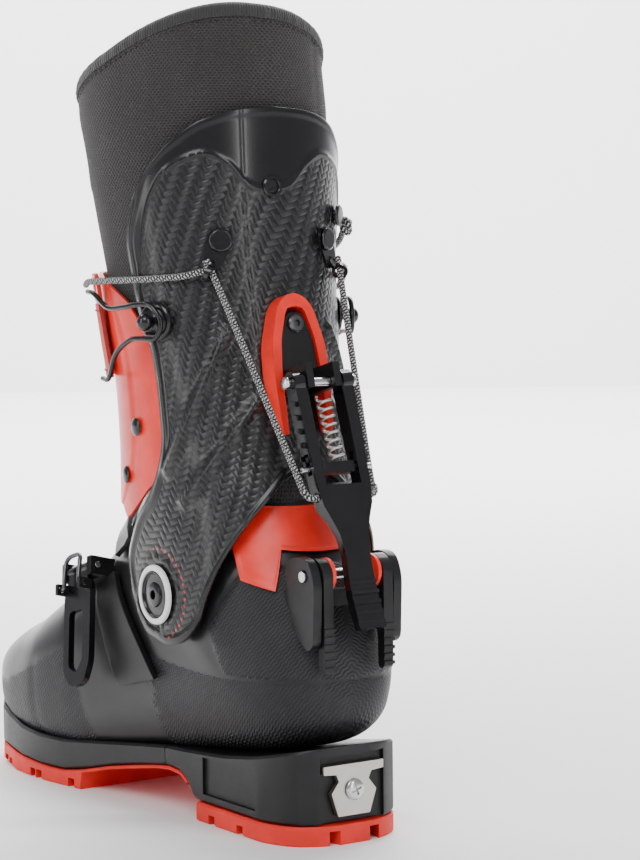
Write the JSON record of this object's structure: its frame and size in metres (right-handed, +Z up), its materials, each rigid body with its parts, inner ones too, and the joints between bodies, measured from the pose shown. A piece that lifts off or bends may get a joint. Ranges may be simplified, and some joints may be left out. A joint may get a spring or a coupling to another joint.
{
  "type": "alpine touring boot",
  "caption": "Left alpine touring ski boot: moulded lower shell, carbon cuff on ankle pivots, rear walk lever with heel lock, padded liner, red grip sole and heel fitting.",
  "frame": {"origin": "on the floor, under the middle of the boot's bounding box", "axes": "+Z up, the toe points along -Y, +X to the outer side of this left boot"},
  "size_m": [0.1265, 0.3018, 0.3731],
  "materials": {
    "black_plastic": "satin, faintly textured",
    "gloss_black": "glossy moulded",
    "carbon": "lacquered woven carbon",
    "red_plastic": "satin moulded",
    "red_rubber": "matte sole rubber",
    "red_webbing": "woven webbing",
    "liner_mesh": "padded mesh",
    "binding_tape": "ribbed edge tape",
    "steel": "satin",
    "dark_steel": "black zinc",
    "white_plastic": "satin",
    "grey_foam": "closed-cell foam",
    "footbed": "brushed",
    "cord": "braided"
  },
  "bodies": {
    "lower_boot": {"lower_shell": "black_plastic", "heel_block": "black_plastic", "heel_tread": "red_rubber", "forefoot_tread": "red_rubber", "forefoot_sole": "black_plastic", "toe_insert": "steel", "heel_fitting": "steel", "heel_fitting_screw": "steel", "boot_board": "grey_foam", "footbed": "footbed", "liner_foot": "liner_mesh", "achilles_panel": "red_plastic", "pivot_bolt_lateral": "black_plastic", "pivot_bolt_medial": "black_plastic", "pivot_nut_lateral": "steel", "pivot_nut_medial": "steel", "heel_bracket": "black_plastic", "instep_strap": "black_plastic", "instep_ladder": "black_plastic", "instep_base": "black_plastic", "instep_pin": "steel"},
    "cuff_assembly": {"cuff": "carbon", "pivot_ring_lateral": "white_plastic", "pivot_ring_medial": "white_plastic", "tongue": "red_plastic", "tongue_rivet_1": "black_plastic", "tongue_rivet_2": "black_plastic", "liner_shaft": "liner_mesh", "liner_binding": "binding_tape", "spine_housing": "red_plastic", "spine_plate": "black_plastic", "spine_screw": "dark_steel", "lever_hinge_pin": "steel", "power_strap": "red_webbing", "strap_end_tab": "red_plastic", "strap_stud_lateral": "black_plastic", "strap_stud_medial": "black_plastic", "guide_rivet_lateral": "black_plastic", "guide_rivet_medial": "black_plastic", "cord_guide_lateral": "black_plastic", "cord_guide_medial": "black_plastic", "cord_button": "black_plastic", "cord_lateral": "cord", "cord_medial": "cord", "cord_upper": "cord", "cord_knot": "cord"},
    "walk_lever_assembly": {"walk_lever": "gloss_black", "lock_spring": "steel"},
    "latch_slide": {"lock_slider": "black_plastic", "lever_cross_pin": "steel"},
    "lean_bail": {"lean_tab_lateral": "black_plastic", "lean_tab_medial": "black_plastic", "lean_cam_lateral": "red_plastic", "lean_cam_medial": "red_plastic", "lock_pin": "steel"},
    "instep_buckle": {"instep_lever": "gloss_black"},
    "instep_wire": {"instep_bail": "steel"},
    "strap_wire_lateral": {"strap_bail_lateral": "dark_steel"},
    "strap_wire_medial": {"strap_bail_medial": "dark_steel"}
  },
  "joints": [
    {"name": "cuff_pivot", "type": "hinge", "parent": "lower_boot", "child": "cuff_assembly", "pos_m": [0.00161, 0.0528, 0.106], "axis": [1, 0, 0], "range_deg": [-12, 30], "deforming": ["tongue"]},
    {"name": "walk_lever_hinge", "type": "hinge", "parent": "cuff_assembly", "child": "walk_lever_assembly", "pos_m": [0.00161, 0.1103, 0.203], "axis": [1, 0, 0], "range_deg": [0, 125], "deforming": ["cord_lateral", "cord_medial"]},
    {"name": "latch_travel", "type": "slide", "parent": "walk_lever_assembly", "child": "latch_slide", "axis": [0, -0.3305, 0.9438], "range_m": [0, 0.0045], "stiffness_N_per_m": 400, "springref_m": -0.004, "deforming": ["lock_spring"]},
    {"name": "lean_bail_hinge", "type": "hinge", "parent": "lower_boot", "child": "lean_bail", "pos_m": [0.00161, 0.1318, 0.12], "axis": [1, 0, 0], "range_deg": [0, 110]},
    {"name": "instep_lever_hinge", "type": "hinge", "parent": "lower_boot", "child": "instep_buckle", "pos_m": [0.04813, -0.025, 0.10879], "axis": [0.1152, -0.9504, -0.2889], "range_deg": [0, 80]},
    {"name": "instep_wire_hinge", "type": "hinge", "parent": "instep_buckle", "child": "instep_wire", "pos_m": [0.05587, -0.02196, 0.10187], "axis": [-0.1152, 0.9504, 0.2889], "range_deg": [0, 80]},
    {"name": "strap_wire_lateral_hinge", "type": "hinge", "parent": "cuff_assembly", "child": "strap_wire_lateral", "pos_m": [0.0593, 0.0116, 0.223], "axis": [-0.0928, 0.1475, -0.9847], "range_deg": [0, 70]},
    {"name": "strap_wire_medial_hinge", "type": "hinge", "parent": "cuff_assembly", "child": "strap_wire_medial", "pos_m": [-0.05608, 0.0116, 0.223], "axis": [-0.0928, -0.1475, 0.9847], "range_deg": [0, 70]}
  ]
}
